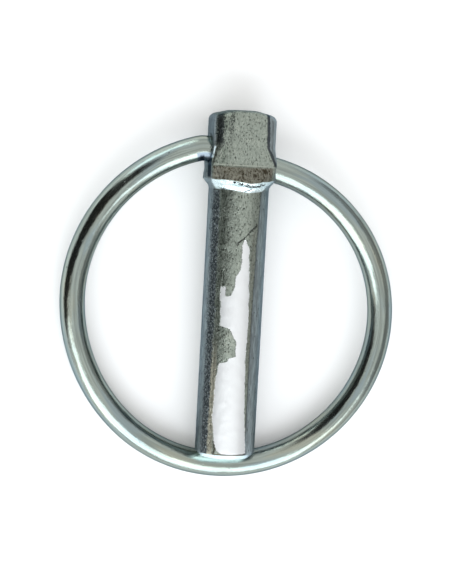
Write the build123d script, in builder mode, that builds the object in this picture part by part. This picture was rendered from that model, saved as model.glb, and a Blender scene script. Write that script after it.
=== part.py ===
"""Lynch pin: a forged pin, with a spring wire ring that swings on its head.

The pin lies on its back. X runs across it, +Y runs along its axis towards the head, and +Z comes
out through the flat front of the head. The origin is on the axis, level with the seat, where the
shank's plain round wall ends under the collar. All sizes are in millimetres and degrees.
"""
from build123d import *
from math import atan, atan2, cos, degrees, radians, sin, tan
import os

# Shank, from the seat to the edge of its crowned tip
shank_radius = 5.0
shank_length = 44.5
tip_chamfer = 0.9
tip_crown = 0.35

# Collar, round at its rim, with a conical underside that meets the shank in a fillet
collar_radius = 6.15
collar_land = 0.4
underside_angle = 41.0
root_fillet = 1.1

# Head, forged flat in front and behind, with a sharper shoulder above the collar
head_height = 13.0
head_width = 10.4
head_thickness = 8.4
head_side_radius = 1.5
head_top_radius = 1.0
shoulder_width = 10.9
shoulder_side_radius = 0.6
shoulder_start = 4.1
shoulder_straight = 0.6
shoulder_flare = 2.4
rim_corner_spread = 9.0

# Cross hole through the head, which carries both ends of the ring and falls to the right
hinge_height = 5.0
hinge_slant = 15.0
running_clearance = 0.05
relief_depth = 1.5
relief_angle = 15.0

# Spring ring, one length of round wire
wire_radius = 2.1
ring_tip_gap = 0.12
ring_spread = 4.0
ring_spread_start = 240.0
ring_spread_stop = 200.0
left_bend_radius = 4.0
left_bend_inset = 1.0
right_bend_outset = 0.1
ring_end_gap = 1.2
ring_end_chamfer = 0.3

quarter_turn = 90.0
full_turn = 360.0

# Worked out from the sizes above
bore_radius = wire_radius + running_clearance
root_height = root_fillet * tan(radians(quarter_turn - underside_angle) / 2)
underside_rise = (collar_radius - shank_radius) * tan(radians(underside_angle))
collar_height = root_height + underside_rise
rim_height = collar_height + collar_land
flare_start = shoulder_start + shoulder_straight
flare_stop = flare_start + shoulder_flare
corner_angle = degrees(atan2(head_thickness, shoulder_width))
half_turn = 2 * quarter_turn
slant = radians(hinge_slant)

# The ring's plane turns about the hinge line, its own X axis. When the ring is closed, the plane
# drops towards the tip, so that the wire lies as low as the back of the collar.
ring_reach = hinge_height + shank_length + ring_tip_gap + wire_radius
ring_drop = collar_radius - wire_radius
closed_angle = atan(ring_drop / (ring_reach * cos(slant)))
hinge_line = Vector(cos(slant), -sin(slant), 0)
ring_normal = Vector(0, 0, 1).rotate(Axis((0, 0, 0), hinge_line), degrees(closed_angle))
ring_plane = Plane(origin=(0, hinge_height, 0), x_dir=hinge_line, z_dir=ring_normal)


def across(height):
    """Plane square to the pin's axis, this far above the seat, facing the top of the head."""
    return Plane(origin=(0, height, 0), x_dir=(1, 0, 0), z_dir=(0, 1, 0))


def rim_outline():
    """Round rim as four arcs, one above each side of the square shoulder, with short lines between."""
    half_spread = rim_corner_spread / 2
    side_span = 2 * (corner_angle - half_spread)
    front_span = half_turn - 2 * (corner_angle + half_spread)
    right = CenterArc((0, 0), collar_radius, -side_span / 2, side_span)
    front = CenterArc((0, 0), collar_radius, corner_angle + half_spread, front_span)
    left = CenterArc((0, 0), collar_radius, half_turn - side_span / 2, side_span)
    back = CenterArc((0, 0), collar_radius, half_turn + corner_angle + half_spread, front_span)
    for before, after in ((right, front), (front, left), (left, back), (back, right)):
        Line(before @ 1, after @ 0)


def mouth_reach(side):
    """Distance along the hinge line, from the pin's axis to the outermost edge of a mouth."""
    return side / cos(slant) + bore_radius * tan(slant)


def towards(angle):
    """Unit vector in the ring's plane, at this angle from the hinge line."""
    return Vector(1, 0).rotate(Axis.Z, angle)


def wire_arc(centre, radius, start, stop):
    """Arc of the ring, drawn in the ring's plane between two angles from the hinge line."""
    return CenterArc(tuple(centre), radius, start, stop - start)


# The left mouth widens from the depth of its relief, out past the side of the head.
hole_stop = mouth_reach(collar_radius) + bore_radius
relief_start = mouth_reach(shoulder_width / 2) - relief_depth
relief_stop = relief_start + 2 * relief_depth
relief_radius = bore_radius + (relief_stop - relief_start) * tan(radians(relief_angle))

# The right arc leaves the hole along the hinge line, just outside its right mouth, and its radius
# is the one that takes it just past the tip, under the pin's axis.
right_end = Vector(mouth_reach(collar_radius) + right_bend_outset, 0)
under_tip = Vector(ring_reach * sin(slant), -ring_reach * cos(slant) / cos(closed_angle))
right_chord = right_end - under_tip
right_radius = right_chord.dot(right_chord) / (2 * right_chord.Y)
right_centre = right_end - Vector(0, right_radius)

# Past the tip the ring opens out into a wider arc, round its lower left.
wide_radius = right_radius + ring_spread
wide_centre = right_centre - towards(ring_spread_start) * ring_spread
wide_stop = wide_centre + towards(ring_spread_stop) * wide_radius

# A tight bend turns the wire into the hole, starting just inside its left mouth, and the left arc
# is the one that touches both the wide arc and the bend.
left_end = Vector(left_bend_inset - mouth_reach(shoulder_width / 2), 0)
bend_centre = left_end - Vector(0, left_bend_radius)
bend_chord = wide_stop - bend_centre
left_inward = towards(ring_spread_stop) * -1
left_radius = (left_bend_radius**2 - bend_chord.dot(bend_chord)) / (
    2 * (left_inward.dot(bend_chord) + left_bend_radius)
)
left_centre = wide_stop + left_inward * left_radius
bend_stop = Vector(1, 0).get_angle(bend_centre - left_centre)

# Forged pin: shank, collar and flattened head are one piece
with BuildPart() as pin_body:
    with BuildSketch(Plane.XY) as turned_profile:
        with BuildLine():
            TangentArc(
                (0, -shank_length - tip_crown),
                (shank_radius - tip_chamfer, -shank_length),
                tangent=(1, 0),
            )
            Polyline(
                (shank_radius - tip_chamfer, -shank_length),
                (shank_radius, tip_chamfer - shank_length),
                (shank_radius, root_height),
                (collar_radius, collar_height),
                (collar_radius, rim_height),
                (0, rim_height),
                (0, -shank_length - tip_crown),
            )
        make_face()
        root = turned_profile.vertices().sort_by_distance((shank_radius, root_height, 0))[0]
        fillet(root, root_fillet)
    revolve(axis=Axis.Y)

    # The round rim turns into a square shoulder.
    with BuildSketch(across(rim_height)):
        with BuildLine():
            rim_outline()
        make_face()
    with BuildSketch(across(shoulder_start)):
        RectangleRounded(shoulder_width, head_thickness, shoulder_side_radius)
    loft()

    with BuildSketch(across(shoulder_start)):
        RectangleRounded(shoulder_width, head_thickness, shoulder_side_radius)
    extrude(amount=shoulder_straight)

    # Above the shoulder the corners open out into the rounder sides of the head.
    with BuildSketch(across(flare_start)):
        RectangleRounded(shoulder_width, head_thickness, shoulder_side_radius)
    with BuildSketch(across(flare_stop)):
        RectangleRounded(head_width, head_thickness, head_side_radius)
    loft()

    with BuildSketch(across(flare_stop)):
        RectangleRounded(head_width, head_thickness, head_side_radius)
    extrude(amount=head_height - flare_stop)
    fillet(pin_body.faces().sort_by(Axis.Y)[-1].edges(), head_top_radius)

    # The cross hole runs along the hinge line, out through both sides. Its left mouth is relieved.
    with BuildSketch(ring_plane) as hole_profile:
        with BuildLine():
            Polyline(
                (-relief_stop, 0),
                (-relief_stop, relief_radius),
                (-relief_start, bore_radius),
                (hole_stop, bore_radius),
                (hole_stop, 0),
                close=True,
            )
        make_face()
    revolve(axis=Axis((0, hinge_height, 0), hinge_line), mode=Mode.SUBTRACT)
pin_body.part.label = "pin_body"

# Spring ring: both straight ends lie in the cross hole, and the loop passes just beyond the tip
with BuildPart() as spring_ring:
    with BuildLine(ring_plane) as wire_path:
        Line((-ring_end_gap / 2, 0), tuple(left_end))
        wire_arc(bend_centre, left_bend_radius, quarter_turn, bend_stop)
        wire_arc(left_centre, left_radius, bend_stop, ring_spread_stop)
        wire_arc(wide_centre, wide_radius, ring_spread_stop, ring_spread_start)
        wire_arc(right_centre, right_radius, ring_spread_start, quarter_turn + full_turn)
        Line(tuple(right_end), (ring_end_gap / 2, 0))
    wire = wire_path.wires()[0]
    with BuildSketch(Plane(origin=wire @ 0, z_dir=wire % 0)):
        Circle(wire_radius)
    sweep(path=wire)
    chamfer(spring_ring.faces().filter_by(GeomType.PLANE).edges(), ring_end_chamfer)
spring_ring.part.label = "spring_ring"

os.makedirs("parts", exist_ok=True)
export_step(pin_body.part, "parts/pin_body.step")
export_step(spring_ring.part, "parts/spring_ring.step")
print(
    "ring radii: right", round(right_radius, 2),
    "wide", round(wide_radius, 2),
    "left", round(left_radius, 2),
    "bend stops at", round(bend_stop, 1),
    "closed angle", round(degrees(closed_angle), 3),
)
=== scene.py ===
"""Lynch pin: a zinc-plated forged pin and its spring wire ring, lying on a white table.

Lengths in the code are in millimetres, turned into metres where a mesh or a lamp is made. Y runs
along the pin towards its head, X across it, and Z comes up out of the table.
"""
import logging
import math
from dataclasses import dataclass, field
from typing import Any, Callable

import bmesh
import bpy
from mathutils import Matrix, Vector


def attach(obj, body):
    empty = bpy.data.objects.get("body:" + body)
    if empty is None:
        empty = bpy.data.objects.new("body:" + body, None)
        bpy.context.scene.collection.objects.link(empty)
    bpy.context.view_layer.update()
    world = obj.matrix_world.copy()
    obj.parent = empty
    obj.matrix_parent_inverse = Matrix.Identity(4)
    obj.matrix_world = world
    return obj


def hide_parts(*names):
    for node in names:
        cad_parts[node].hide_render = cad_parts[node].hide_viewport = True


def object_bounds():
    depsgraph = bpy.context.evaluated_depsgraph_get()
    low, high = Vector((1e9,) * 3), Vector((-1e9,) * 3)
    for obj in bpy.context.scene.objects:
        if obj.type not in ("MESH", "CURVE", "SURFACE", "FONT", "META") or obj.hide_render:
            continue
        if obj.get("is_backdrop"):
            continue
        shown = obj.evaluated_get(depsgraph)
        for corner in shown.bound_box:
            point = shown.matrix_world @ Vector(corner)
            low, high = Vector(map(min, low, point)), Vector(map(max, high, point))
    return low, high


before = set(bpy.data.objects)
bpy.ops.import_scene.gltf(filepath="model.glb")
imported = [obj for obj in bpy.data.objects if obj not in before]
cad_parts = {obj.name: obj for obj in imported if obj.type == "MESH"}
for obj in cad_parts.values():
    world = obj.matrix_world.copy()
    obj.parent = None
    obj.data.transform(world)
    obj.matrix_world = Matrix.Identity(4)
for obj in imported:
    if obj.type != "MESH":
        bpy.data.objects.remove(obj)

LOG = logging.getLogger("lynch_pin")
MM = 0.001
WHITE = (1.0, 1.0, 1.0, 1.0)
Colour = tuple[float, float, float, float]
Line = tuple[tuple[float, float], ...]
Span = tuple[float, float]


def tone(red: int, green: int, blue: int) -> Colour:
    """Turns a colour as it is seen, 0 to 255, into the linear one that a shader takes.

    Args:
        red: Red as seen.
        green: Green as seen.
        blue: Blue as seen.

    Returns:
        The linear colour with full alpha.
    """
    linear = [
        part / 12.92 if part <= 0.04045 else ((part + 0.055) / 1.055) ** 2.4
        for part in (red / 255, green / 255, blue / 255)
    ]
    return (linear[0], linear[1], linear[2], 1.0)


class Signal:
    """One output of a shader node. An expression on signals adds the Math nodes that it needs."""

    def __init__(self, graph: "Graph", socket: bpy.types.NodeSocket) -> None:
        """Keeps the graph and the socket that the signal comes from."""
        self.graph = graph
        self.socket = socket

    def maths(self, operation: str, *values: Any) -> "Signal":
        """Adds one Math node.

        Args:
            operation: The Math node's operation.
            values: Its operands in order, signals or numbers.

        Returns:
            The node's result.
        """
        inputs = dict(enumerate(values))
        return self.graph.node("ShaderNodeMath", {"operation": operation}, inputs)

    def __add__(self, other: Any) -> "Signal":
        """Sum."""
        return self.maths("ADD", self, other)

    def __radd__(self, other: Any) -> "Signal":
        """Sum, number first."""
        return self.maths("ADD", other, self)

    def __sub__(self, other: Any) -> "Signal":
        """Difference."""
        return self.maths("SUBTRACT", self, other)

    def __rsub__(self, other: Any) -> "Signal":
        """Difference, number first."""
        return self.maths("SUBTRACT", other, self)

    def __mul__(self, other: Any) -> "Signal":
        """Product."""
        return self.maths("MULTIPLY", self, other)

    def __rmul__(self, other: Any) -> "Signal":
        """Product, number first."""
        return self.maths("MULTIPLY", other, self)

    def __truediv__(self, other: Any) -> "Signal":
        """Quotient."""
        return self.maths("DIVIDE", self, other)

    def __abs__(self) -> "Signal":
        """Size without its sign."""
        return self.maths("ABSOLUTE", self)

    def rise(self, low: float, high: float) -> "Signal":
        """Climbs smoothly from 0 at low to 1 at high, or falls where low is the larger.

        Args:
            low: Value that gives 0.
            high: Value that gives 1.

        Returns:
            A mask from 0 to 1.
        """
        inputs = {"Value": self, "From Min": low, "From Max": high}
        return self.graph.node(
            "ShaderNodeMapRange", {"interpolation_type": "SMOOTHSTEP", "clamp": True}, inputs
        )

    def between(self, low: float, high: float, soft: float) -> "Signal":
        """Mask of 1 between two values, with edges that are this soft.

        Args:
            low: Lower edge.
            high: Upper edge.
            soft: Width of each edge.

        Returns:
            A mask from 0 to 1.
        """
        return self.rise(low - soft, low + soft) * self.rise(high + soft, high - soft)

    def most(self, other: Any) -> "Signal":
        """The larger of two values."""
        return self.maths("MAXIMUM", self, other)


class Graph:
    """A material's nodes, written as expressions."""

    def __init__(self, name: str) -> None:
        """Starts a material with an empty node tree.

        Args:
            name: The material's name.
        """
        self.material = bpy.data.materials.new(name)
        self.material.use_nodes = True
        self.tree = self.material.node_tree
        self.tree.nodes.clear()

    def node(
        self,
        kind: str,
        settings: dict[str, Any] | None = None,
        inputs: dict[Any, Any] | None = None,
        output: Any = 0,
    ) -> Signal:
        """Adds any node.

        Args:
            kind: The node's type.
            settings: Its settings, set first. "stops" are a ramp's places and colours.
            inputs: Values or signals for its sockets, by name or number.
            output: Name or number of the output that is wanted.

        Returns:
            That output.
        """
        made = self.tree.nodes.new(kind)
        for key, value in (settings or {}).items():
            if key == "stops":
                self.set_stops(made.color_ramp, value)
            else:
                setattr(made, key, value)
        for key, value in (inputs or {}).items():
            if isinstance(value, Signal):
                self.tree.links.new(value.socket, made.inputs[key])
            else:
                made.inputs[key].default_value = value
        return Signal(self, made.outputs[output])

    @staticmethod
    def set_stops(ramp: bpy.types.ColorRamp, stops: list[tuple[float, Colour]]) -> None:
        """Gives a ramp its stops.

        Args:
            ramp: The ramp.
            stops: Places and colours, in order.
        """
        for place, _ in stops[2:]:
            ramp.elements.new(place)
        for element, (place, colour) in zip(ramp.elements, stops):
            element.position = place
            element.color = colour

    def place(self) -> Signal:
        """Place on the piece, in millimetres."""
        coords = self.node("ShaderNodeTexCoord", output="Object")
        return self.node(
            "ShaderNodeVectorMath", {"operation": "SCALE"}, {0: coords, "Scale": 1 / MM}
        )

    def stretch(self, vector: Signal, by: tuple[float, float, float]) -> Signal:
        """Multiplies a vector's three parts, to draw a pattern out."""
        return self.node("ShaderNodeVectorMath", {"operation": "MULTIPLY"}, {0: vector, 1: by})

    def parts(self, vector: Signal) -> tuple[Signal, Signal, Signal]:
        """Takes a vector apart.

        Args:
            vector: The vector.

        Returns:
            Its three parts.
        """
        split = self.node("ShaderNodeSeparateXYZ", inputs={0: vector})
        outputs = split.socket.node.outputs
        return Signal(self, outputs[0]), Signal(self, outputs[1]), Signal(self, outputs[2])

    def noise(
        self, vector: Signal, scale: float, detail: float = 3.0, rough: float = 0.55
    ) -> Signal:
        """Cloudy noise from 0 to 1.

        Args:
            vector: Where to read it.
            scale: Patches per unit of the vector.
            detail: Finer layers.
            rough: Weight of the finer layers.

        Returns:
            The noise.
        """
        inputs = {"Vector": vector, "Scale": scale, "Detail": detail, "Roughness": rough}
        return self.node("ShaderNodeTexNoise", None, inputs)

    def specks(self, vector: Signal, scale: float, size: float, share: float) -> Signal:
        """Small round marks, one in some of the cells of a Voronoi pattern.

        Args:
            vector: Where to read them.
            scale: Cells per unit of the vector.
            size: Radius of a mark, as a part of a cell.
            share: Share of the cells that have one.

        Returns:
            A mask of 1 in the marks.
        """
        inputs = {"Vector": vector, "Scale": scale}
        near = self.node("ShaderNodeTexVoronoi", None, inputs, "Distance")
        cell = Signal(self, near.socket.node.outputs["Color"])
        chosen, _, _ = self.parts(cell)
        return near.rise(size, size * 0.4) * chosen.rise(share + 0.02, share - 0.02)

    def mix(self, factor: Any, first: Any, second: Any) -> Signal:
        """Colour that goes from the first to the second as the factor goes from 0 to 1."""
        settings = {"data_type": "RGBA", "clamp_factor": True}
        return self.node("ShaderNodeMix", settings, {0: factor, 6: first, 7: second}, 2)

    def paint(self, colour: Any, coats: list[tuple[Any, Any]]) -> Signal:
        """Lays coats over a colour in order.

        Args:
            colour: The colour under them.
            coats: Each coat's mask and its colour.

        Returns:
            The colour on top.
        """
        for mask, coat in coats:
            colour = self.mix(mask, colour, coat)
        return colour

    def profile(self, value: Signal, points: Line) -> Signal:
        """Follows a bent line through points.

        Args:
            value: Where along the line to read it.
            points: Pairs of place and height, with places that rise.

        Returns:
            The line's height there.
        """
        start, stop = points[0][0], points[-1][0]
        low = min(height for _, height in points)
        high = max(height for _, height in points)
        grey = [(height - low) / (high - low) for _, height in points]
        stops = [
            ((place - start) / (stop - start), (level, level, level, 1.0))
            for (place, _), level in zip(points, grey)
        ]
        along = (value - start) / (stop - start)
        level = self.node("ShaderNodeValToRGB", {"stops": stops}, {"Fac": along})
        return level * (high - low) + low

    def relief(self, height: Signal, depth: float, under: Signal | None = None) -> Signal:
        """Bump from a height of 0 to 1.

        Args:
            height: The height.
            depth: What a height of 1 stands for, in millimetres.
            under: A coarser bump that this one lies on.

        Returns:
            The bent normal.
        """
        inputs = {"Height": height, "Distance": depth * MM, "Strength": 1.0}
        if under is not None:
            inputs["Normal"] = under
        return self.node("ShaderNodeBump", None, inputs)

    def surface(self, inputs: dict[str, Any]) -> bpy.types.Material:
        """Ends the material with a principled surface.

        Args:
            inputs: Values or signals for its sockets.

        Returns:
            The finished material.
        """
        return self.end(self.node("ShaderNodeBsdfPrincipled", None, inputs))

    def end(self, shader: Signal) -> bpy.types.Material:
        """Ends the material with a shader.

        Args:
            shader: The shader.

        Returns:
            The finished material.
        """
        last = self.tree.nodes.new("ShaderNodeOutputMaterial")
        self.tree.links.new(shader.socket, last.inputs["Surface"])
        return self.material


class PinSkin:
    """Places on the pin, in millimetres, and the noises that its finish is drawn with."""

    def __init__(self, graph: Graph, rim_line: Line) -> None:
        """Lays the noises out over the pin's own space.

        Args:
            graph: The material that the finish is drawn in.
            rim_line: How far the collar sags along the pin, by place across it.
        """
        self.graph = graph
        self.edges: dict[Line, Signal] = {}
        self.place = graph.place()
        self.across, self.along, self.up = graph.parts(self.place)
        self.front = self.up.rise(0.2, 1.2)
        self.brow = self.up.rise(2.9, 3.5)
        self.shank = self.along.rise(0.6, -0.4)
        self.head = self.along.rise(3.9, 4.2)
        self.left_side = self.across.rise(-1.2, -4.2)
        self.level = self.along - graph.profile(self.across, rim_line) * self.front

        # Noises that are drawn out along the pin, and even ones
        self.streaks = self.drawn(3.2, 0.42, 5.0, 0.6)
        self.blotch = self.drawn(1.9, 0.9, 4.0, 0.7)
        self.flecks = self.drawn(5.0, 2.3, 2.0, 0.6)
        self.crust = self.drawn(3.6, 2.52, 3.0, 0.8)
        self.stain = self.drawn(3.4, 0.8, 5.0, 0.75)
        self.chips = self.drawn(1.5, 2.6, 3.0, 0.7)
        self.mottle = graph.noise(self.place, 0.55, 6.0, 0.62)
        self.grain = graph.noise(self.place, 7.0, 2.0, 0.7)
        self.pebble = graph.noise(self.place, 3.2, 2.0, 0.8)
        self.wander = graph.noise(self.place, 0.9, 2.0) - 0.5
        self.fine = graph.noise(self.place, 4.5, 2.0, 0.7) - 0.5

        # Places across the pin, made ragged for edges on its left, on its right and on the patch
        self.left = self.across + self.wander * 0.35 + self.fine * 0.5
        self.right = self.across + self.wander * 0.3 + self.fine * 0.2
        self.ragged = self.across + self.fine * 0.55 + self.wander * 0.35

    def drawn(self, across: float, along: float, detail: float, rough: float) -> Signal:
        """Noise with these many patches per millimetre across the pin and along it."""
        place = self.graph.stretch(self.place, (across, along, across))
        return self.graph.noise(place, 1.0, detail, rough)

    def edge(self, line: Line) -> Signal:
        """Follows a line down the pin.

        Args:
            line: Places across the pin by height along it.

        Returns:
            The line's place across the pin at each height.
        """
        if line not in self.edges:
            self.edges[line] = self.graph.profile(self.along, line)
        return self.edges[line]


@dataclass(frozen=True)
class ForgedZinc:
    """Satin zinc plate over a forging: streaked, stained at the collar, with painted highlights and
    dark reflections.
    """

    name: str = "forged zinc plate"
    face: Colour = tone(156, 164, 154)
    shade: Colour = tone(130, 138, 129)
    pale: Colour = tone(178, 184, 172)
    # The next two colours paint the flanks as a painted reflection of the table
    cool: Colour = tone(129, 137, 139)
    cool_pale: Colour = tone(156, 168, 171)
    # Dark of the painted dark reflections and of the painted shadow strip, and of the head's frayed
    # band
    navy: Colour = tone(50, 55, 60)
    # Painted glint specks in the shank's band
    glint_tone: Colour = tone(176, 186, 190)
    tan: Colour = tone(184, 180, 162)
    brown: Colour = tone(134, 133, 122)
    burnt: Colour = tone(62, 56, 44)
    # Painted highlights on the collar's underside, the crease and the tip's edge
    bright: Colour = tone(232, 249, 252)
    # Painted glare highlight over the patch on the shank
    glare_white: Colour = tone(224, 225, 225)
    green: Colour = tone(108, 119, 108)
    # Near black of the head's band, a painted dark reflection, and of its second band
    near_black: Colour = tone(28, 32, 34)
    nick: Colour = tone(14, 15, 15)
    pit: Colour = tone(52, 54, 50)
    edge_tint: Colour = tone(150, 164, 176)

    # Lines down the pin, as places across it by height along it: both edges of the satin face,
    # and the left edges of the shank's dark band and of the collar's bright underside
    face_left: Line = (
        (-45.0, -4.2), (0.0, -4.3), (2.0, -5.1), (4.0, -5.35), (4.7, -5.4), (7.1, -4.85),
        (13.0, -4.8),
    )
    face_right: Line = (
        (-45.0, 2.55), (-21.0, 2.5), (-9.0, 2.7), (-1.5, 2.95), (-0.2, 3.1), (0.5, 3.7),
        (1.0, 4.3), (1.6, 5.1), (4.0, 5.2), (4.7, 4.95), (7.1, 3.8), (13.0, 3.55),
    )
    band_left: Line = (
        (-45.0, -4.45), (-21.0, -4.45), (0.0, -4.6), (0.4, -4.9), (13.0, -4.9),
    )
    lit_left: Line = ((-1.0, -4.2), (0.2, -4.35), (1.6, -5.2), (3.0, -5.3))

    # Bands and lines that run along the pin, by their place across it
    band_width: float = 0.95
    head_band_left: float = -4.85
    head_band_width: float = 1.15
    frayed_left: float = -5.2
    frayed_width: float = 1.9
    second_left: float = -2.7
    second_width: float = 0.6
    ochre_line: float = -3.25
    tail_line: float = -2.6
    rough_line: float = 2.15

    # Patch of painted glare highlight on the front of the shank: both its sides, its ends, and a
    # lobe on its left
    patch_left: Line = (
        (-43.9, 0.4), (-43.5, -1.4), (-42.9, -2.3), (-40.5, -2.8), (-37.4, -3.1), (-34.5, -2.95),
        (-31.2, -2.95), (-28.4, -2.5), (-28.1, -1.2), (-27.5, -1.0), (-27.2, 0.05), (-24.7, 0.05),
        (-23.9, -0.5), (-22.6, -1.1), (-22.3, -2.6), (-17.5, -2.8), (-17.2, -1.2), (-15.7, -0.65),
        (-14.1, -0.58), (-12.9, 0.1), (-11.2, 0.25), (-8.8, 0.12), (-7.9, 0.5),
    )
    patch_right: Line = (
        (-43.9, 1.6), (-43.2, 2.7), (-37.2, 2.2), (-27.8, 1.75), (-22.2, 1.95), (-18.1, 1.85),
        (-9.6, 1.4), (-7.9, 0.8),
    )
    patch_ends: Span = (-43.75, -8.0)
    lobe_across: float = -2.45
    lobe_ends: Span = (-17.8, -15.8)

    # Collar: heights of its underside's painted highlight, of the nicks there and of the painted
    # light line on the shoulder's ledge, how far across the slope's stain reaches, and its spots,
    # by place across, along, and size
    underside_ends: Span = (0.05, 1.56)
    nick_height: float = 1.12
    gouge_height: float = 0.45
    ledge_height: float = 4.06
    stain_ends: Span = (-5.05, 4.7)
    spots: tuple[tuple[float, float, float], ...] = (
        (3.4, 3.2, 0.75), (1.7, 2.5, 0.5), (-0.4, 2.7, 0.45), (-3.3, 2.9, 0.4), (-4.95, 3.6, 0.4),
    )

    # Head's crest with its wear, the line and the painted highlight at the tip's edge, and the
    # scratch over the shank
    crest_height: float = 12.45
    tip_line: float = -43.55
    tip_start: float = -43.62
    tip_full: float = -43.78
    scratch_place: Span = (2.4, -5.95)
    scratch_lean: float = 0.92

    def satin(self, skin: PinSkin) -> Signal:
        """Mottled satin plate, darker and greener on the pin's left.

        Args:
            skin: Places and noises on the pin.

        Returns:
            The colour.
        """
        zone = skin.left_side
        streaked = skin.streaks.rise(0.25, 0.6) * 0.6 + skin.grain.rise(0.35, 0.6) * 0.4
        dense = skin.flecks + zone * 0.05 + (skin.blotch - 0.5) * 0.35
        return skin.graph.paint(skin.graph.mix(streaked, self.shade, self.face), [
            (skin.mottle.rise(0.52, 0.78) * 0.6, self.pale),
            (zone * skin.mottle.rise(0.36, 0.5) * 0.6, self.shade),
            (skin.blotch.rise(0.52, 0.66) * 0.55, self.shade),
            (skin.blotch.rise(0.42, 0.3) * 0.5, self.pale),
            (skin.grain.rise(0.5, 0.72) * 0.8, self.shade),
            (zone * skin.streaks.rise(0.62, 0.4) * 0.75, self.green),
            (skin.flecks.rise(0.42, 0.34) * 0.5, self.pale),
            (dense.rise(0.57, 0.66) * 0.75, self.pit),
        ])

    def flanks(self, skin: PinSkin, colour: Signal) -> Signal:
        """Cool grey flanks on both sides of the face, a painted reflection of the table.

        Args:
            skin: Places and noises on the pin.
            colour: Colour under them.

        Returns:
            The colour with its flanks.
        """
        right = (skin.right - skin.edge(self.face_right)).rise(-0.12, 0.12)
        left = (skin.edge(self.face_left) - skin.left).rise(-0.15, 0.2)
        tint = skin.graph.mix(skin.streaks.rise(0.42, 0.66), self.cool, self.cool_pale)
        return skin.graph.mix(right.most(left), colour, tint)

    def band(self, skin: PinSkin) -> Signal:
        """Mask of the rough dark band down the shank, where its left flank meets the face: painted
        dark reflection.
        """
        inward = skin.left - skin.edge(self.band_left) + skin.fine * 0.4
        return inward.between(0.0, self.band_width, 0.2) * skin.front * skin.shank

    def head_band(self, skin: PinSkin) -> Signal:
        """Draws the ragged black band down the left of the head, a painted dark reflection.

        Args:
            skin: Places and noises on the pin.

        Returns:
            A mask of 1 in the band.
        """
        inward = skin.left - self.head_band_left + skin.fine * 0.9
        band = inward.between(0.0, self.head_band_width, 0.2)
        return band * skin.brow * skin.along.rise(6.4, 8.0)

    def bands(
        self, skin: PinSkin, colour: Signal, band: Signal, head_band: Signal
    ) -> Signal:
        """Mottled dark bands of the shank and the head, the main ones painted dark reflection, with
        painted glint specks, and the head's crest with its wear.

        Args:
            skin: Places and noises on the pin.
            colour: Colour under them.
            band: Mask of the shank's band.
            head_band: Mask of the head's band.

        Returns:
            The colour with its bands.
        """
        graph, crust = skin.graph, skin.crust
        # Painted glint specks in the shank's band, whose dark colour is a painted dark reflection
        glints = graph.specks(skin.place, 2.6, 0.42, 0.34)
        glints = glints.most(graph.specks(skin.place, 4.6, 0.4, 0.3) * 0.7)
        painted_band_colour = graph.mix(crust.rise(0.46, 0.62), self.navy, self.cool)
        frayed = (skin.left - self.frayed_left).between(0.0, self.frayed_width, 0.3)
        frayed = frayed * skin.head * skin.along.rise(6.0, 7.5) * crust.rise(0.52, 0.6)
        second = skin.left - self.second_left + skin.fine * 1.2
        second = second.between(0.0, self.second_width, 0.25) * crust.rise(0.4, 0.55)
        second = second * (skin.along + skin.wander * 3.0).rise(7.0, 9.6)
        crest = skin.along - self.crest_height + skin.across * skin.across * 0.012
        crest = crest.rise(-0.15, 0.15) * skin.front * crust.rise(0.5, 0.6)
        return graph.paint(colour, [
            (band * 0.92, graph.mix(glints * crust.rise(0.4, 0.6), painted_band_colour, self.glint_tone)),
            (head_band * 0.95, graph.mix(crust.rise(0.52, 0.7), self.near_black, self.shade)),
            (frayed * skin.brow * 0.7, self.navy),
            (second * skin.brow * 0.85, self.near_black),
            (crest * 0.7, self.pit),
        ])

    def lines(self, skin: PinSkin, colour: Signal) -> Signal:
        """Thin lines along the pin: a painted dark reflection along the right flank, and lines
        beside the glare patch.

        Args:
            skin: Places and noises on the pin.
            colour: Colour under them.

        Returns:
            The colour with its lines.
        """
        # Painted dark reflection: a dark line along the right edge of the face
        dark_edge_line = abs(skin.right - skin.edge(self.face_right))
        dark_edge_line = dark_edge_line.rise(0.34, 0.16) * skin.head + dark_edge_line.rise(0.2, 0.06) * skin.shank * 0.5
        ochre = (skin.left - self.ochre_line).between(-0.35, 0.35, 0.15)
        ochre = ochre * skin.along.rise(-23.0, -30.0) * skin.crust.rise(0.36, 0.5)
        tail = (skin.left - self.tail_line).between(-0.12, 0.16, 0.1)
        tail = tail * skin.along.rise(-36.5, -40.0)
        rough = abs(skin.right - self.rough_line).rise(0.42, 0.2)
        rough = rough * skin.along.between(-31.0, -6.0, 1.5) * skin.grain.rise(0.42, 0.62)
        return skin.graph.paint(colour, [
            (dark_edge_line * skin.front * 0.9, self.navy),
            (ochre * skin.front * 0.85, self.tan),
            (tail * skin.front * 0.85, self.burnt),
            (rough * skin.front * 0.8, self.brown),
        ])

    def patch(self, skin: PinSkin) -> Signal:
        """Draws the patch of painted glare highlight on the front of the shank.

        Args:
            skin: Places and noises on the pin.

        Returns:
            A mask of 1 in the patch.
        """
        patch = (skin.ragged - skin.edge(self.patch_left)).rise(-0.06, 0.06)
        patch = patch * (skin.edge(self.patch_right) - skin.ragged).rise(-0.06, 0.06)
        patch = patch * skin.along.between(*self.patch_ends, 0.1)
        lobe = (skin.ragged - self.lobe_across).between(-0.38, 0.38, 0.06)
        lobe = lobe * (skin.along + skin.fine).between(*self.lobe_ends, 0.1)
        return patch.most(lobe) * skin.front

    def slope(self, skin: PinSkin) -> Signal:
        """Mask of the slope between the shoulder and the collar's rim."""
        return skin.level.rise(1.5, 1.7) * skin.along.rise(3.98, 3.6)

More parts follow.
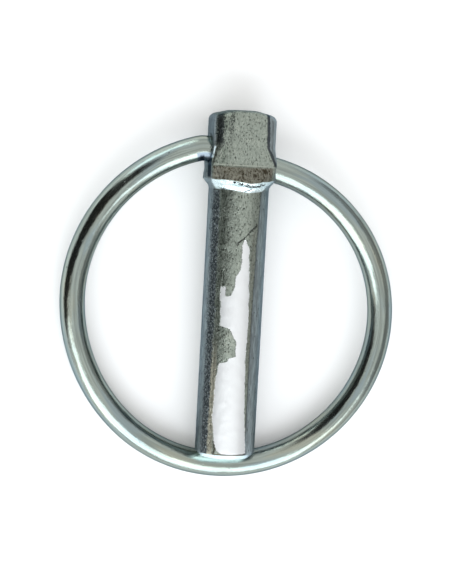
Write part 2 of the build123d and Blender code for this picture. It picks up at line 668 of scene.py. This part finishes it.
    def stained(self, skin: PinSkin, colour: Signal, slope: Signal) -> Signal:
        """Brown stain over the slope, with its dark spots.

        Args:
            skin: Places and noises on the pin.
            colour: Colour under it.
            slope: Mask of the slope.

        Returns:
            The colour with its stain.
        """
        graph = skin.graph
        tint = graph.mix(skin.stain.rise(0.38, 0.56), self.burnt, self.brown)
        tint = graph.mix(skin.grain.rise(0.5, 0.75) * 0.5, tint, self.tan)
        reach = skin.across.between(*self.stain_ends, 0.18)
        coats = [(slope * (reach * 0.9 + 0.1) * skin.front, tint)]
        for across, along, size in self.spots:
            apart = abs(skin.across - across) + abs(skin.along - along) + skin.fine * 0.8
            coats.append((apart.rise(size, size * 0.3) * skin.front * 0.9, self.burnt))
        return graph.paint(colour, coats)

    def underside(self, skin: PinSkin) -> Signal:
        """Draws the painted highlight on the collar's underside, brightest at the front.

        Args:
            skin: Places and noises on the pin.

        Returns:
            A mask of 1 where it is bright.
        """
        lit = (skin.left - skin.edge(self.lit_left)).rise(-0.1, 0.1)
        lit = lit * (skin.edge(self.face_right) - skin.right).rise(-0.12, 0.12)
        # Painted highlight on the collar's underside
        zone = (skin.level + skin.wander * 0.3).between(*self.underside_ends, 0.08)
        return zone * (lit * skin.front * 0.9 + 0.1)

    def highlights_shade_and_nicks(self, skin: PinSkin, colour: Signal, underside: Signal) -> Signal:
        """Painted highlights on the ledge, underside, crease and tip, a painted shadow strip, nicks
        and dark lines.

        Args:
            skin: Places and noises on the pin.
            colour: Colour under them.
            underside: Mask of the collar's bright underside.

        Returns:
            The colour with its edges.
        """
        across, along, wander, fine = skin.across, skin.along, skin.wander, skin.fine
        # Painted highlight: a pale light line along the shoulder's ledge
        ledge = abs(along - self.ledge_height + wander * 0.12).rise(0.11, 0.03)
        ledge = ledge * across.between(-5.0, 3.6, 0.3)
        chain = abs(skin.level - self.nick_height + (across - 2.0) * 0.06 + wander * 0.3)
        chain = chain.rise(0.34, 0.2) * skin.chips.rise(0.48, 0.54) * across.between(-2.0, 3.9, 0.2)
        gouge = abs(skin.level - self.gouge_height - (across - 0.6) * 0.5 + fine * 0.3)
        gouge = gouge.rise(0.14, 0.05) * across.between(0.0, 1.2, 0.1)
        # Painted shadow: a dark strip down the lower left of the head
        shadow = (across + skin.up * 0.183 + fine * 0.12).between(-5.3, -4.74, 0.07)
        shadow = shadow * along.between(1.9, 5.1, 0.2)
        # Painted glint along the crease at the left edge of the face
        crease = (across - skin.edge(self.face_left) + fine * 0.05).between(-0.1, 0.12, 0.03)
        crease = crease * along.between(5.1, 7.0, 0.15)
        tip_line = abs(along - self.tip_line + wander * 0.2).rise(0.18, 0.1)
        tip_line = tip_line * across.between(-2.6, 2.7, 0.2)
        # Painted highlight on the tip's edge
        tip = along.rise(self.tip_start, self.tip_full) * across.between(-4.3, 3.4, 0.4)
        return skin.graph.paint(colour, [
            (ledge * skin.front * 0.7, self.pale),
            (underside, self.bright),
            (chain.most(gouge) * underside, self.nick),
            (shadow * skin.front * 0.95, self.navy),
            (crease * skin.front, self.bright),
            (tip_line * skin.front * 0.85, self.burnt),
            (tip, self.bright),
        ])

    def pits(self, skin: PinSkin) -> Signal:
        """Draws the pits, which are closer together and drawn out on the pin's left.

        Args:
            skin: Places and noises on the pin.

        Returns:
            A mask of 1 in the pits.
        """
        graph, dashes = skin.graph, skin.graph.stretch(skin.place, (1.0, 0.45, 1.0))
        pits = graph.specks(skin.place, 1.1, 0.14, 0.35).most(graph.specks(dashes, 2.4, 0.28, 0.2))
        return pits.most(graph.specks(dashes, 2.9, 0.34, 0.4) * skin.left_side * 0.75)

    def scratch(self, skin: PinSkin) -> Signal:
        """Draws the one scratch that leans over the shank.

        Args:
            skin: Places and noises on the pin.

        Returns:
            A mask of 1 in the scratch.
        """
        start_across, start_along = self.scratch_place
        thick = 0.12 + abs(skin.across - 0.9) * 0.1
        off = skin.along - start_along - (skin.across - start_across) * self.scratch_lean
        off = abs(off + skin.wander * 1.5 + skin.fine * 0.5) / thick
        gash = off.rise(1.5, 0.6) * skin.across.between(-0.7, 2.65, 0.1) * skin.front
        return gash * (skin.grain.rise(0.3, 0.5) * 0.5 + 0.5)

    def material(self, rim_line: Line) -> bpy.types.Material:
        """Builds the finish in the pin's own space.

        Args:
            rim_line: How far the collar sags along the pin, by place across it.

        Returns:
            The material.
        """
        graph = Graph(self.name)
        skin = PinSkin(graph, rim_line)
        band, head_band = self.band(skin), self.head_band(skin)
        slope, underside = self.slope(skin), self.underside(skin)
        patch, gash = self.patch(skin), self.scratch(skin)
        plain = 1 - patch
        pits = self.pits(skin) * plain * (1 - underside)

        colour = self.flanks(skin, self.satin(skin))
        colour = self.lines(skin, self.bands(skin, colour, band, head_band))
        # The patch is painted glare highlight
        colour = self.stained(skin, graph.mix(patch, colour, self.glare_white), slope)
        colour = self.highlights_shade_and_nicks(skin, colour, underside)
        colour = graph.paint(colour, [(pits * 0.85, self.pit), (gash * 0.9, self.pit)])

        rough = 0.3 + skin.streaks * 0.12 + (band + slope + patch) * 0.18 - underside * 0.1
        height = (skin.grain * 0.5 + skin.fine * 0.4) * plain - pits * 1.6 - gash * 1.4
        height = height + (band + head_band) * skin.pebble * 2.0 + slope * skin.stain * 2.2
        bump = graph.relief(skin.mottle * plain, 0.14)
        bump = graph.relief(skin.streaks * plain, 0.03, bump)
        bump = graph.relief(height, 0.035, bump)
        return graph.surface({
            "Base Color": colour,
            "Metallic": 1.0,
            "Roughness": rough,
            "Specular Tint": self.edge_tint,
            "Normal": bump,
        })


@dataclass(frozen=True)
class WireZinc:
    """Smooth bright zinc plate on drawn wire, with drawing lines that run along the wire."""

    name: str = "drawn zinc plate"
    silver: Colour = tone(157, 167, 160)
    warm: Colour = tone(168, 168, 150)
    cool: Colour = tone(138, 155, 160)
    dull: Colour = tone(138, 147, 141)
    dross: Colour = tone(66, 68, 64)
    # The next two colours are painted shade on the wire beside the left mouth
    socket: Colour = tone(112, 122, 130)
    mouth_shade: Colour = tone(44, 50, 60)
    edge_tint: Colour = tone(128, 142, 156)
    place_name: str = "wire place"

    # Painted shade on the wire beside the left mouth, dulled and darker, by distance along the wire
    # from the pin's axis
    stub_length: float = 8.0
    blob_ends: Span = (6.5, 7.5)

    def material(self) -> bpy.types.Material:
        """Builds the finish along the wire.

        Returns:
            The material.
        """
        graph = Graph(self.name)
        source = {"attribute_name": self.place_name}
        wire = graph.node("ShaderNodeAttribute", source, None, "Vector")
        place = graph.place()
        lines = graph.noise(graph.stretch(wire, (0.09, 5.0, 5.0)), 1.0, 4.0, 0.6)
        patches = graph.noise(graph.stretch(wire, (0.16, 1.1, 1.1)), 1.0, 3.0, 0.5)
        hues = graph.noise(graph.stretch(wire, (0.12, 1.6, 1.6)), 0.7, 2.0, 0.5)
        grain = graph.noise(place, 6.0, 3.0, 0.65)
        dross = graph.specks(place, 0.9, 0.16, 0.3)
        dross = dross.most(graph.specks(place, 2.2, 0.2, 0.1)) * patches.rise(0.4, 0.6)
        travel, outward, above = graph.parts(wire)
        # Painted shade: the wire is dulled and darker beside the left mouth
        stub = travel.rise(self.stub_length, self.stub_length - 0.2)
        stub = stub * outward.rise(-0.1, -0.3) * above.rise(0.0, 0.3)
        blob = travel.between(*self.blob_ends, 0.2) * outward.between(-0.9, -0.45, 0.12)
        blob = blob * above.rise(0.0, 0.2)
        colour = graph.paint(graph.mix(lines.rise(0.38, 0.62), self.dull, self.silver), [
            (hues.rise(0.52, 0.7) * 0.5, self.warm),
            (hues.rise(0.48, 0.3) * 0.6, self.cool),
            (grain.rise(0.55, 0.8) * 0.3, self.dull),
            (dross * 0.8, self.dross),
            (stub, self.socket),
            (blob * 0.9, self.mouth_shade),
        ])
        rough = 0.1 + lines * 0.07 + patches.rise(0.4, 0.75) * 0.08 + dross * 0.2
        bump = graph.relief(patches, 0.1)
        bump = graph.relief(lines, 0.012, bump)
        bump = graph.relief(grain * 0.4 - dross, 0.03, bump)
        return graph.surface({
            "Base Color": colour,
            "Metallic": 1.0,
            "Roughness": rough,
            "Specular Tint": self.edge_tint,
            "Normal": bump,
        })


class Mesh:
    """Small helpers for modelling with the edit operators."""

    @staticmethod
    def deselect() -> None:
        """Leaves nothing selected, in object mode."""
        if bpy.context.mode != "OBJECT":
            bpy.ops.object.mode_set(mode="OBJECT")
        bpy.ops.object.select_all(action="DESELECT")

    @staticmethod
    def only(piece: bpy.types.Object) -> None:
        """Makes one piece the selected and active one.

        Args:
            piece: The piece.
        """
        Mesh.deselect()
        piece.select_set(True)
        bpy.context.view_layer.objects.active = piece

    @staticmethod
    def edit(piece: bpy.types.Object) -> None:
        """Opens a piece in edit mode with all of it selected.

        Args:
            piece: The piece.
        """
        Mesh.only(piece)
        bpy.ops.object.mode_set(mode="EDIT")
        bpy.ops.mesh.select_all(action="SELECT")

    @staticmethod
    def apply(piece: bpy.types.Object, kind: str, **settings: Any) -> None:
        """Adds a modifier with these settings and applies it.

        Args:
            piece: The piece that it shapes.
            kind: The modifier's type.
            settings: Its settings.
        """
        Mesh.only(piece)
        made = piece.modifiers.new(kind, kind)
        for key, value in settings.items():
            setattr(made, key, value)
        bpy.ops.object.modifier_apply(modifier=made.name)

    @staticmethod
    def weigh(
        piece: bpy.types.Object, name: str, weight: Callable[[Vector], float]
    ) -> None:
        """Gives a piece a vertex group whose weights follow the places of its vertices.

        Args:
            piece: The piece.
            name: Name of the group.
            weight: Weight at a place in millimetres, from 0 to 1.
        """
        group = piece.vertex_groups.new(name=name)
        for vertex in piece.data.vertices:
            amount = weight(vertex.co / MM)
            if amount > 0:
                group.add([vertex.index], amount, "REPLACE")

    @staticmethod
    def clouds(name: str, size: float, depth: int = 2) -> bpy.types.Texture:
        """Cloud pattern for a displacement.

        Args:
            name: The pattern's name.
            size: Size of its patches, in millimetres.
            depth: Finer layers.

        Returns:
            The pattern.
        """
        pattern = bpy.data.textures.new(name, "CLOUDS")
        pattern.noise_scale = size * MM
        pattern.noise_depth = depth
        return pattern

    @staticmethod
    def finish(piece: bpy.types.Object, material: bpy.types.Material, sharp: float) -> None:
        """Shades a piece smooth up to an angle, and gives it its only material.

        Args:
            piece: The piece.
            material: Its material.
            sharp: Angle in degrees past which an edge stays sharp.
        """
        Mesh.only(piece)
        bpy.ops.object.shade_smooth_by_angle(angle=math.radians(sharp))
        piece.data.materials.clear()
        piece.data.materials.append(material)


def ease(value: float, low: float, high: float) -> float:
    """Climbs smoothly from 0 at low to 1 at high.

    Args:
        value: The value.
        low: Value that gives 0.
        high: Value that gives 1.

    Returns:
        A weight from 0 to 1.
    """
    part = min(max((value - low) / (high - low), 0.0), 1.0)
    return part * part * (3 - 2 * part)


@dataclass
class ForgedPin:
    """Shank, collar and squared head, forged in one piece, with the hammered skin of a forging."""

    name: str = "forged_pin"
    node: str = "pin_body"
    body: str = "pin"
    slot: str = "forged_steel"
    merge: float = 0.002
    grain: float = 0.172
    soften: int = 3
    skin_depth: float = 0.05
    skin_size: float = 1.3
    rim_depth: float = 0.22
    rim_size: float = 1.9
    rim_height: float = 1.7
    sharp: float = 40.0
    crown_drop: float = 0.62
    crown_front_drop: float = 0.2

    # Places between which the rim's wear, the head's crown and the collar's sag set in, 0 to 1
    rim_reach: Span = (1.0, 0.2)
    rim_start: Span = (5.2, 5.9)
    crown_across: Span = (1.4, 5.0)
    crown_up: Span = (1.5, 4.2)
    crown_along: Span = (8.5, 12.6)
    sag_below: Span = (-1.6, -0.1)
    sag_above: Span = (3.9, 2.3)
    sag_up: Span = (0.2, 1.2)
    rim_line: Line = (
        (-6.3, 0.12), (-5.0, 0.05), (-2.2, 0.0), (-0.6, -0.2), (0.8, -0.42), (2.2, -0.25),
        (3.4, -0.02), (5.0, 0.1), (6.3, 0.15),
    )
    finish: ForgedZinc = field(default_factory=ForgedZinc)

    def near_rim(self, place: Vector) -> float:
        """Weight of the collar's rim, falling off above and below it.

        Args:
            place: A place on the pin, in millimetres.

        Returns:
            1 at the rim, and 0 away from it.
        """
        out = math.hypot(place.x, place.z)
        near = ease(abs(place.y - self.rim_height), *self.rim_reach)
        return near * ease(out, *self.rim_start)

    def sag(self, across: float) -> float:
        """How far the collar's front sags along the pin.

        Args:
            across: Place across the pin.

        Returns:
            The sag there, in millimetres.
        """
        for (start, low), (stop, high) in zip(self.rim_line, self.rim_line[1:]):
            if across <= stop:
                return low + (high - low) * min(max((across - start) / (stop - start), 0), 1)
        return self.rim_line[-1][1]

    def settle(self, piece: bpy.types.Object) -> None:
        """Crowns the top of the head and lets the collar's front sag, as the dies left them.

        Args:
            piece: The pin.
        """
        for vertex in piece.data.vertices:
            place = vertex.co / MM
            drop = self.crown_drop * ease(abs(place.x), *self.crown_across)
            drop += self.crown_front_drop * ease(abs(place.z), *self.crown_up)
            fall = drop * ease(place.y, *self.crown_along)
            near = ease(place.y, *self.sag_below) * ease(place.y, *self.sag_above)
            near *= ease(place.z, *self.sag_up)
            vertex.co.y += (self.sag(place.x) * near - fall) * MM

    def build(self) -> bpy.types.Object:
        """Copies the forging's solid, gives it an even skin and roughens it.

        Returns:
            The finished piece.
        """
        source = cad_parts[self.node]
        piece = bpy.data.objects.new(self.name, source.data.copy())
        bpy.context.scene.collection.objects.link(piece)
        Mesh.edit(piece)
        bpy.ops.mesh.remove_doubles(threshold=self.merge * MM)
        bpy.ops.object.mode_set(mode="OBJECT")
        Mesh.apply(piece, "REMESH", mode="VOXEL", voxel_size=self.grain * MM)
        Mesh.apply(piece, "SMOOTH", factor=0.5, iterations=self.soften)
        self.settle(piece)
        Mesh.weigh(piece, "rim", self.near_rim)
        Mesh.apply(
            piece, "DISPLACE", texture=Mesh.clouds("rim wear", self.rim_size),
            texture_coords="LOCAL", strength=self.rim_depth * MM, mid_level=1.0,
            vertex_group="rim",
        )
        Mesh.apply(
            piece, "DISPLACE", texture=Mesh.clouds("forged skin", self.skin_size),
            texture_coords="LOCAL", strength=self.skin_depth * MM, mid_level=1.0,
        )
        Mesh.finish(piece, self.finish.material(self.rim_line), self.sharp)
        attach(piece, self.body)
        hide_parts(self.node)
        LOG.info("%s: %d faces", piece.name, len(piece.data.polygons))
        return piece


@dataclass(frozen=True)
class WireArc:
    """One arc of the ring, in the ring's own plane, in millimetres and degrees."""

    centre: tuple[float, float]
    radius: float
    start: float
    stop: float
    steps: int

    def length(self) -> float:
        """Length along the middle of the wire."""
        return self.radius * math.radians(self.stop - self.start)


@dataclass
class SpringRing:
    """One length of round wire, bent into a ring, with both ends in the pin's cross hole."""

    name: str = "wire_ring"
    node: str = "spring_ring"
    body: str = "ring"
    slot: str = "spring_wire"
    wire_radius: float = 2.1
    sides: int = 72
    hinge_height: float = 5.0
    hinge_slant: float = 15.0
    closed_angle: float = 4.635
    end_gap: float = 1.2
    end_chamfer: float = 0.3
    left_end: float = -5.218
    right_end: float = 7.043
    slack: float = 0.05  # how far a run of the wire reaches past its ends, in millimetres
    slack_turn: float = 0.2  # and in degrees
    waver_depth: float = 0.03
    waver_size: float = 3.2
    sharp: float = 35.0
    arcs: tuple[WireArc, ...] = (
        WireArc((-5.218, -4.0), 4.0, 90.0, 120.2, 9),
        WireArc((5.924, -23.132), 26.14, 120.2, 200.0, 74),
        WireArc((9.043, -21.996), 29.46, 200.0, 240.0, 42),
        WireArc((7.043, -25.46), 25.46, 240.0, 450.0, 188),
    )
    finish: WireZinc = field(default_factory=WireZinc)

    def plane(self) -> Matrix:
        """Lays out the ring's plane, in the closed position.

        Returns:
            Its origin on the pin's axis, with X along the hinge line and Y towards the head.
        """
        slant = math.radians(self.hinge_slant)
        hinge = Vector((math.cos(slant), -math.sin(slant), 0))
        square = Matrix.Rotation(math.radians(self.closed_angle), 3, hinge) @ Vector((0, 0, 1))
        rise = square.cross(hinge)
        turn = Matrix((hinge, rise, square)).transposed().to_4x4()
        return Matrix.Translation((0, self.hinge_height * MM, 0)) @ turn

    def straight(self, reach: float, swell: float = 1.0) -> None:
        """Extrudes the open end along the hinge line.

        Args:
            reach: How far, in millimetres, negative to the left.
            swell: What the end's size is multiplied by.
        """
        step = self.plane().to_3x3() @ Vector((reach * MM, 0, 0))
        bpy.ops.mesh.extrude_region_move(TRANSFORM_OT_translate={"value": step})
        if swell != 1.0:
            mesh = bmesh.from_edit_mesh(bpy.context.edit_object.data)
            chosen = [vertex.co for vertex in mesh.verts if vertex.select]
            middle = sum(chosen, Vector()) / len(chosen)
            bpy.ops.transform.resize(value=(swell,) * 3, center_override=middle)

    def bend(self, arc: WireArc) -> None:
        """Spins the open end round one arc. The operator turns against the right-hand rule.

        Args:
            arc: The arc.
        """
        plane = self.plane()
        centre = plane @ (Vector((*arc.centre, 0)) * MM)
        axis = plane.to_3x3() @ Vector((0, 0, 1))
        turn = math.radians(arc.stop - arc.start)
        bpy.ops.mesh.spin(steps=arc.steps, angle=-turn, center=centre, axis=axis)

    def along_wire(self, place: Vector) -> Vector:
        """Finds where a point of the surface is on the wire.

        Args:
            place: The point in the ring's plane, in millimetres.

        Returns:
            Distance along the wire, and the cosine and sine of the angle round it.
        """
        runs = []
        travelled = -self.left_end
        whole = travelled + sum(arc.length() for arc in self.arcs) + self.right_end
        in_hole = self.left_end - self.slack <= place.x <= self.right_end + self.slack
        if in_hole and abs(place.y) < 2 * self.wire_radius:
            runs.append((-place.x if place.x < 0 else whole - place.x, place.y))
        for arc in self.arcs:
            out = Vector((place.x - arc.centre[0], place.y - arc.centre[1]))
            angle = math.degrees(math.atan2(out.y, out.x)) % 360
            for turned in (angle, angle + 360):
                if arc.start - self.slack_turn <= turned <= arc.stop + self.slack_turn:
                    distance = travelled + arc.radius * math.radians(turned - arc.start)
                    runs.append((distance, out.length - arc.radius))
            travelled += arc.length()
        misfit = [abs(math.hypot(off, place.z) - self.wire_radius) for _, off in runs]
        distance, off = runs[misfit.index(min(misfit))]
        round_wire = math.atan2(place.z, off)
        return Vector((distance, math.cos(round_wire), math.sin(round_wire)))

    def mark_places(self, piece: bpy.types.Object) -> None:
        """Stores each vertex's place on the wire, for the finish to follow.

        Args:
            piece: The ring.
        """
        back = self.plane().inverted()
        marks = piece.data.attributes.new(self.finish.place_name, "FLOAT_VECTOR", "POINT")
        for vertex, mark in zip(piece.data.vertices, marks.data):
            mark.vector = self.along_wire((back @ vertex.co) / MM)

    def build(self) -> bpy.types.Object:
        """Draws the wire from the middle of the hole, round the ring and back into the hole.

        Returns:
            The finished piece.
        """
        plane = self.plane()
        small = self.wire_radius - self.end_chamfer
        swell = self.wire_radius / small
        Mesh.deselect()
        bpy.ops.mesh.primitive_circle_add(
            vertices=self.sides, radius=small * MM, fill_type="NGON", location=(0, 0, 0)
        )
        piece = bpy.context.object
        piece.name = self.name
        facing = Matrix.Rotation(math.radians(-90), 4, "Y")
        start = Matrix.Translation((-self.end_gap / 2 * MM, 0, 0))
        piece.data.transform(plane @ start @ facing)
        Mesh.edit(piece)
        self.straight(-self.end_chamfer, swell)
        self.straight(self.left_end + self.end_gap / 2 + self.end_chamfer)
        for arc in self.arcs:
            self.bend(arc)
        self.straight(-(self.right_end - self.end_gap / 2 - self.end_chamfer))
        self.straight(-self.end_chamfer, 1 / swell)
        bpy.ops.mesh.select_all(action="SELECT")
        bpy.ops.mesh.normals_make_consistent(inside=False)
        bpy.ops.object.mode_set(mode="OBJECT")
        self.mark_places(piece)
        Mesh.apply(
            piece, "DISPLACE", texture=Mesh.clouds("wire waver", self.waver_size),
            texture_coords="LOCAL", strength=self.waver_depth * MM, mid_level=1.0,
        )
        Mesh.finish(piece, self.finish.material(), self.sharp)
        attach(piece, self.body)
        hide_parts(self.node)
        LOG.info("%s: %d faces", piece.name, len(piece.data.polygons))
        return piece


@dataclass(frozen=True)
class Softbox:
    """A flat lamp that faces the pin, placed by its direction as the camera sees it."""

    name: str
    azimuth: float
    polar: float
    distance: float
    width: float
    height: float
    radiance: float
    colour: tuple[float, float, float]
    roll: float = 0.0


@dataclass(frozen=True)
class Flag:
    """A card seen only in the metal's reflections, given by its corners' azimuths and polars."""

    name: str
    corners: Line
    distance: float
    level: float


@dataclass
class Studio:
    """White table, camera over it, and the soft lights and flags round it."""

    target: tuple[float, float, float] = (-1.19, -17.07, 0.0)
    distance: float = 300.0
    yaw: float = 10.364
    pitch: float = 5.682
    roll: float = 3.12
    focal_pixels: float = 1811.8
    long_side: float = 584.0
    sensor: float = 36.0
    near_clip: float = 10.0
    table_drop: float = 0.02
    table_size: float = 3000.0
    table_tone: Colour = tone(250, 250, 250)
    sky_level: float = 1.0
    softboxes: tuple[Softbox, ...] = (
        Softbox(
            "long softbox", azimuth=267.0, polar=58.0, distance=600.0, width=910.0, height=540.0,
            radiance=2.6, colour=(0.88, 0.95, 1.0), roll=4.0,
        ),
        Softbox(
            "far softbox", azimuth=111.0, polar=68.0, distance=700.0, width=380.0, height=240.0,
            radiance=2.1, colour=(0.9, 1.0, 0.95),
        ),
    )
    flags: tuple[Flag, ...] = (
        Flag(
            "dark flag", distance=300.0, level=0.03,
            corners=((100, 18), (116, 1), (162, 1), (182, 8), (203, 36), (208, 79), (140, 83),
                     (134, 66), (121, 47), (105, 34)),
        ),
        Flag(
            "grey flag", distance=320.0, level=0.42,
            corners=((-38, 60), (42, 66), (44, 96), (-38, 96)),
        ),
    )

    def stance(self) -> tuple[Vector, Vector, Vector]:
        """Works out how the camera is held, which the lights follow too.

        Returns:
            Its right, its up and its back.
        """
        back = Vector(
            (-math.tan(math.radians(self.yaw)), math.tan(math.radians(self.pitch)), 1.0)
        ).normalized()
        upright = Vector((0, 1, 0))
        upright = (upright - back * upright.dot(back)).normalized()
        level = upright.cross(back)
        turn = math.radians(self.roll)
        right = level * math.cos(turn) + upright * math.sin(turn)
        upward = upright * math.cos(turn) - level * math.sin(turn)
        return right, upward, back

    def direction(self, azimuth: float, polar: float) -> Vector:
        """Unit vector, given as the camera sees it.

        Args:
            azimuth: Angle round the line of sight, from the camera's right.
            polar: Angle away from the line of sight.

        Returns:
            The vector.
        """
        right, upward, back = self.stance()
        turn, lean = math.radians(azimuth), math.radians(polar)
        aside = right * math.cos(turn) + upward * math.sin(turn)
        return aside * math.sin(lean) + back * math.cos(lean)

    def add_camera(self) -> None:
        """Sets the camera over the pin, turned and rolled as in the photo."""
        right, upward, back = self.stance()
        data = bpy.data.cameras.new("camera")
        data.lens = self.focal_pixels * self.sensor / self.long_side
        data.sensor_width = self.sensor
        data.clip_start = self.near_clip * MM
        camera = bpy.data.objects.new("camera", data)
        bpy.context.scene.collection.objects.link(camera)
        frame_turn = Matrix((right, upward, back)).transposed().to_4x4()
        place = Vector(self.target) + back * self.distance
        camera.matrix_world = Matrix.Translation(place * MM) @ frame_turn
        bpy.context.scene.camera = camera

    def add_sky(self) -> None:
        """Surrounds the table with an even white sky."""
        world = bpy.data.worlds.new("white sky")
        world.use_nodes = True
        sky = world.node_tree.nodes["Background"]
        sky.inputs["Color"].default_value = WHITE
        sky.inputs["Strength"].default_value = self.sky_level
        bpy.context.scene.world = world

    def add_softbox(self, box: Softbox) -> None:
        """Hangs one softbox, facing the middle of the pin.

        Args:
            box: Its place, size, light and roll.
        """
        data = bpy.data.lights.new(box.name, "AREA")
        data.shape = "RECTANGLE"
        data.size, data.size_y = box.width * MM, box.height * MM
        data.color = box.colour
        data.energy = box.radiance * math.pi * data.size * data.size_y
        lamp = bpy.data.objects.new(box.name, data)
        bpy.context.scene.collection.objects.link(lamp)
        away = self.direction(box.azimuth, box.polar)
        turn = away.to_track_quat("Z", "Y").to_matrix().to_4x4()
        spin = Matrix.Rotation(math.radians(box.roll), 4, "Z")
        place = Matrix.Translation((Vector(self.target) + away * box.distance) * MM)
        lamp.matrix_world = place @ turn @ spin

    def add_flag(self, flag: Flag) -> None:
        """Hangs one flag that only glossy reflections see.

        Args:
            flag: Its corners, distance and brightness.
        """
        mesh = bpy.data.meshes.new(flag.name)
        middle = Vector(self.target)
        corners = [
            (middle + self.direction(*corner) * flag.distance) * MM for corner in flag.corners
        ]
        mesh.from_pydata(corners, [], [tuple(range(len(corners)))])
        card = bpy.data.objects.new(flag.name, mesh)
        bpy.context.scene.collection.objects.link(card)
        graph = Graph(flag.name)
        glow = graph.node(
            "ShaderNodeEmission", None, {"Color": WHITE, "Strength": flag.level}
        )
        mesh.materials.append(graph.end(glow))
        card.visible_camera = False
        card.visible_diffuse = False
        card.visible_shadow = False
        card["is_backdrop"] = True

    def add_table(self, height: float) -> None:
        """Lays the white table under the pin.

        Args:
            height: Height of the table's top, in millimetres.
        """
        Mesh.deselect()
        bpy.ops.mesh.primitive_plane_add(
            size=self.table_size * MM, location=(0, 0, (height - self.table_drop) * MM)
        )
        table = bpy.context.object
        table.name = "white_table"
        table.data.materials.append(Graph("white card").surface({
            "Base Color": self.table_tone, "Roughness": 0.9, "Specular IOR Level": 0.0,
        }))
        table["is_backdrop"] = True


def main() -> None:
    """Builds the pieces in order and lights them."""
    logging.basicConfig(level=logging.INFO, format="%(name)s: %(message)s")
    solid_box = [list(corner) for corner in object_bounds()]
    bpy.context.scene.view_settings.view_transform = "Standard"
    studio = Studio()
    studio.add_camera()
    studio.add_sky()
    for box in studio.softboxes:
        studio.add_softbox(box)
    for flag in studio.flags:
        studio.add_flag(flag)
    studio.add_table(solid_box[0][2] / MM)
    ForgedPin().build()
    SpringRing().build()


if __name__ == "__main__":
    main()
